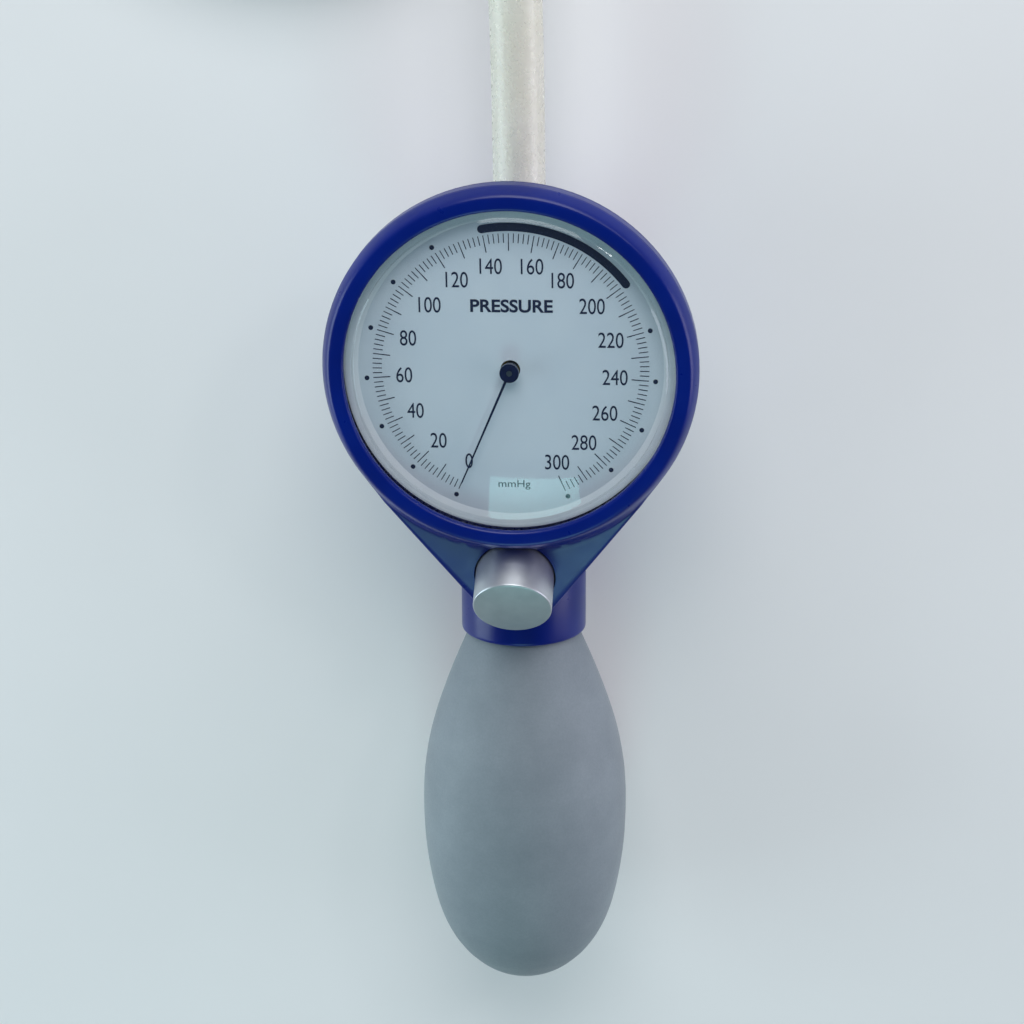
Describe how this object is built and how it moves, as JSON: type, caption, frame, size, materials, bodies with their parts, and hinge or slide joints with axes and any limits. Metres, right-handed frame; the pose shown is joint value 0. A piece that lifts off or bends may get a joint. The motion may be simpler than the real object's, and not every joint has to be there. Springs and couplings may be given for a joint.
{
  "type": "hand inflation bulb with pressure gauge",
  "caption": "Hand-squeezed inflation bulb with a round dial pressure gauge, push-button air release and a silicone hose with a bayonet connector.",
  "frame": {"origin": "on the back rest face of the head, straight below the pointer axis", "axes": "+Z out of the dial, +Y towards the hose outlet, -Y towards the bulb, +X to the right when reading the dial"},
  "size_m": [0.1469, 0.3161, 0.0446],
  "materials": {
    "blue_plastic": "gloss",
    "screw_steel": "satin",
    "clear_lens": "clear",
    "black_rubber": "matt",
    "pale_ring": "satin",
    "dial_white": "matt",
    "brass": "satin",
    "bronze_capsule": "satin",
    "steel": "satin",
    "navy_pointer": "satin",
    "manifold_aluminium": "cast",
    "button_aluminium": "satin anodised",
    "grey_elastomer": "matt",
    "valve_silicone": "matt",
    "nickel_brass": "bright",
    "clear_silicone": "translucent"
  },
  "bodies": {
    "housing": {"front_cover": "blue_plastic", "rear_housing": "blue_plastic", "bulb_collar": "blue_plastic", "cover_screws": "screw_steel", "movement_screws": "screw_steel", "bridge_screws": "screw_steel", "lens": "clear_lens", "lens_seal": "black_rubber", "dial_ring": "pale_ring", "dial_plate": "dial_white", "base_plate": "brass", "movement_plate": "brass", "bridge_plate": "brass", "base_pillars": "brass", "bridge_pillars": "brass", "capsule_stud": "brass", "capsule": "bronze_capsule", "hairspring": "steel", "hairspring_stud": "brass", "air_manifold": "manifold_aluminium", "release_guide": "brass", "button_spring": "steel", "bulb": "grey_elastomer", "bulb_insert": "brass", "insert_seal": "black_rubber", "outlet_seat": "brass", "inlet_valve_body": "brass", "inlet_grille": "steel", "inlet_stop": "brass", "hose_nipple": "nickel_brass", "nipple_seal": "black_rubber", "hose_tube": "clear_silicone", "hose_coil": "clear_silicone", "hose_ferrule": "steel", "connector_body": "nickel_brass", "connector_seal": "black_rubber"},
    "sector": {"sector_gear": "brass"},
    "needle": {"pointer": "navy_pointer", "pointer_arbor": "steel"},
    "rocker": {"rocking_shaft": "steel"},
    "stem": {"capsule_stem": "steel"},
    "button": {"push_button": "button_aluminium", "button_stem": "steel", "release_poppet": "black_rubber"},
    "outlet_flap": {"outlet_disc": "valve_silicone"},
    "inlet_check": {"inlet_ball": "black_rubber"},
    "coupling_ring": {"connector_ring": "steel"}
  },
  "joints": [
    {"name": "sector_turn", "type": "hinge", "parent": "housing", "child": "sector", "pos_m": [0.01006, 0.003, 0.031], "axis": [0, 0, 1], "range_deg": [0, 52.3]},
    {"name": "pointer_turn", "type": "hinge", "parent": "housing", "child": "needle", "pos_m": [0, 0, 0.031], "axis": [0, 0, 1], "range_deg": [-313.85, 0]},
    {"name": "rocker_turn", "type": "hinge", "parent": "housing", "child": "rocker", "pos_m": [0, 0.00205, 0.0276], "axis": [-1, 0, 0], "range_deg": [0, 34.8]},
    {"name": "stem_lift", "type": "slide", "parent": "housing", "child": "stem", "axis": [0, 0, 1], "range_m": [0, 0.00122], "stiffness_N_per_m": 20, "deforming": ["capsule"]},
    {"name": "button_press", "type": "slide", "parent": "housing", "child": "button", "axis": [0, 0.527, -0.8499], "range_m": [0, 0.0025], "stiffness_N_per_m": 600, "springref_m": -0.003, "deforming": ["button_spring"]},
    {"name": "outlet_lift", "type": "slide", "parent": "housing", "child": "outlet_flap", "axis": [0, -0.9972, 0.0748], "range_m": [0, 0.0006], "stiffness_N_per_m": 5},
    {"name": "inlet_lift", "type": "slide", "parent": "housing", "child": "inlet_check", "axis": [0, -0.9972, 0.0748], "range_m": [0, 0.0008]},
    {"name": "bayonet_turn", "type": "hinge", "parent": "housing", "child": "coupling_ring", "pos_m": [-0.1068, 0.1, 0.0072], "axis": [0, -1, 0], "range_deg": [0, 60]}
  ],
  "couplings": [
    {"joint": "sector_turn", "follows": "stem_lift", "rad_per_m": 748.2},
    {"joint": "pointer_turn", "follows": "stem_lift", "rad_per_m": -4489.2},
    {"joint": "rocker_turn", "follows": "stem_lift", "rad_per_m": 497.55}
  ]
}
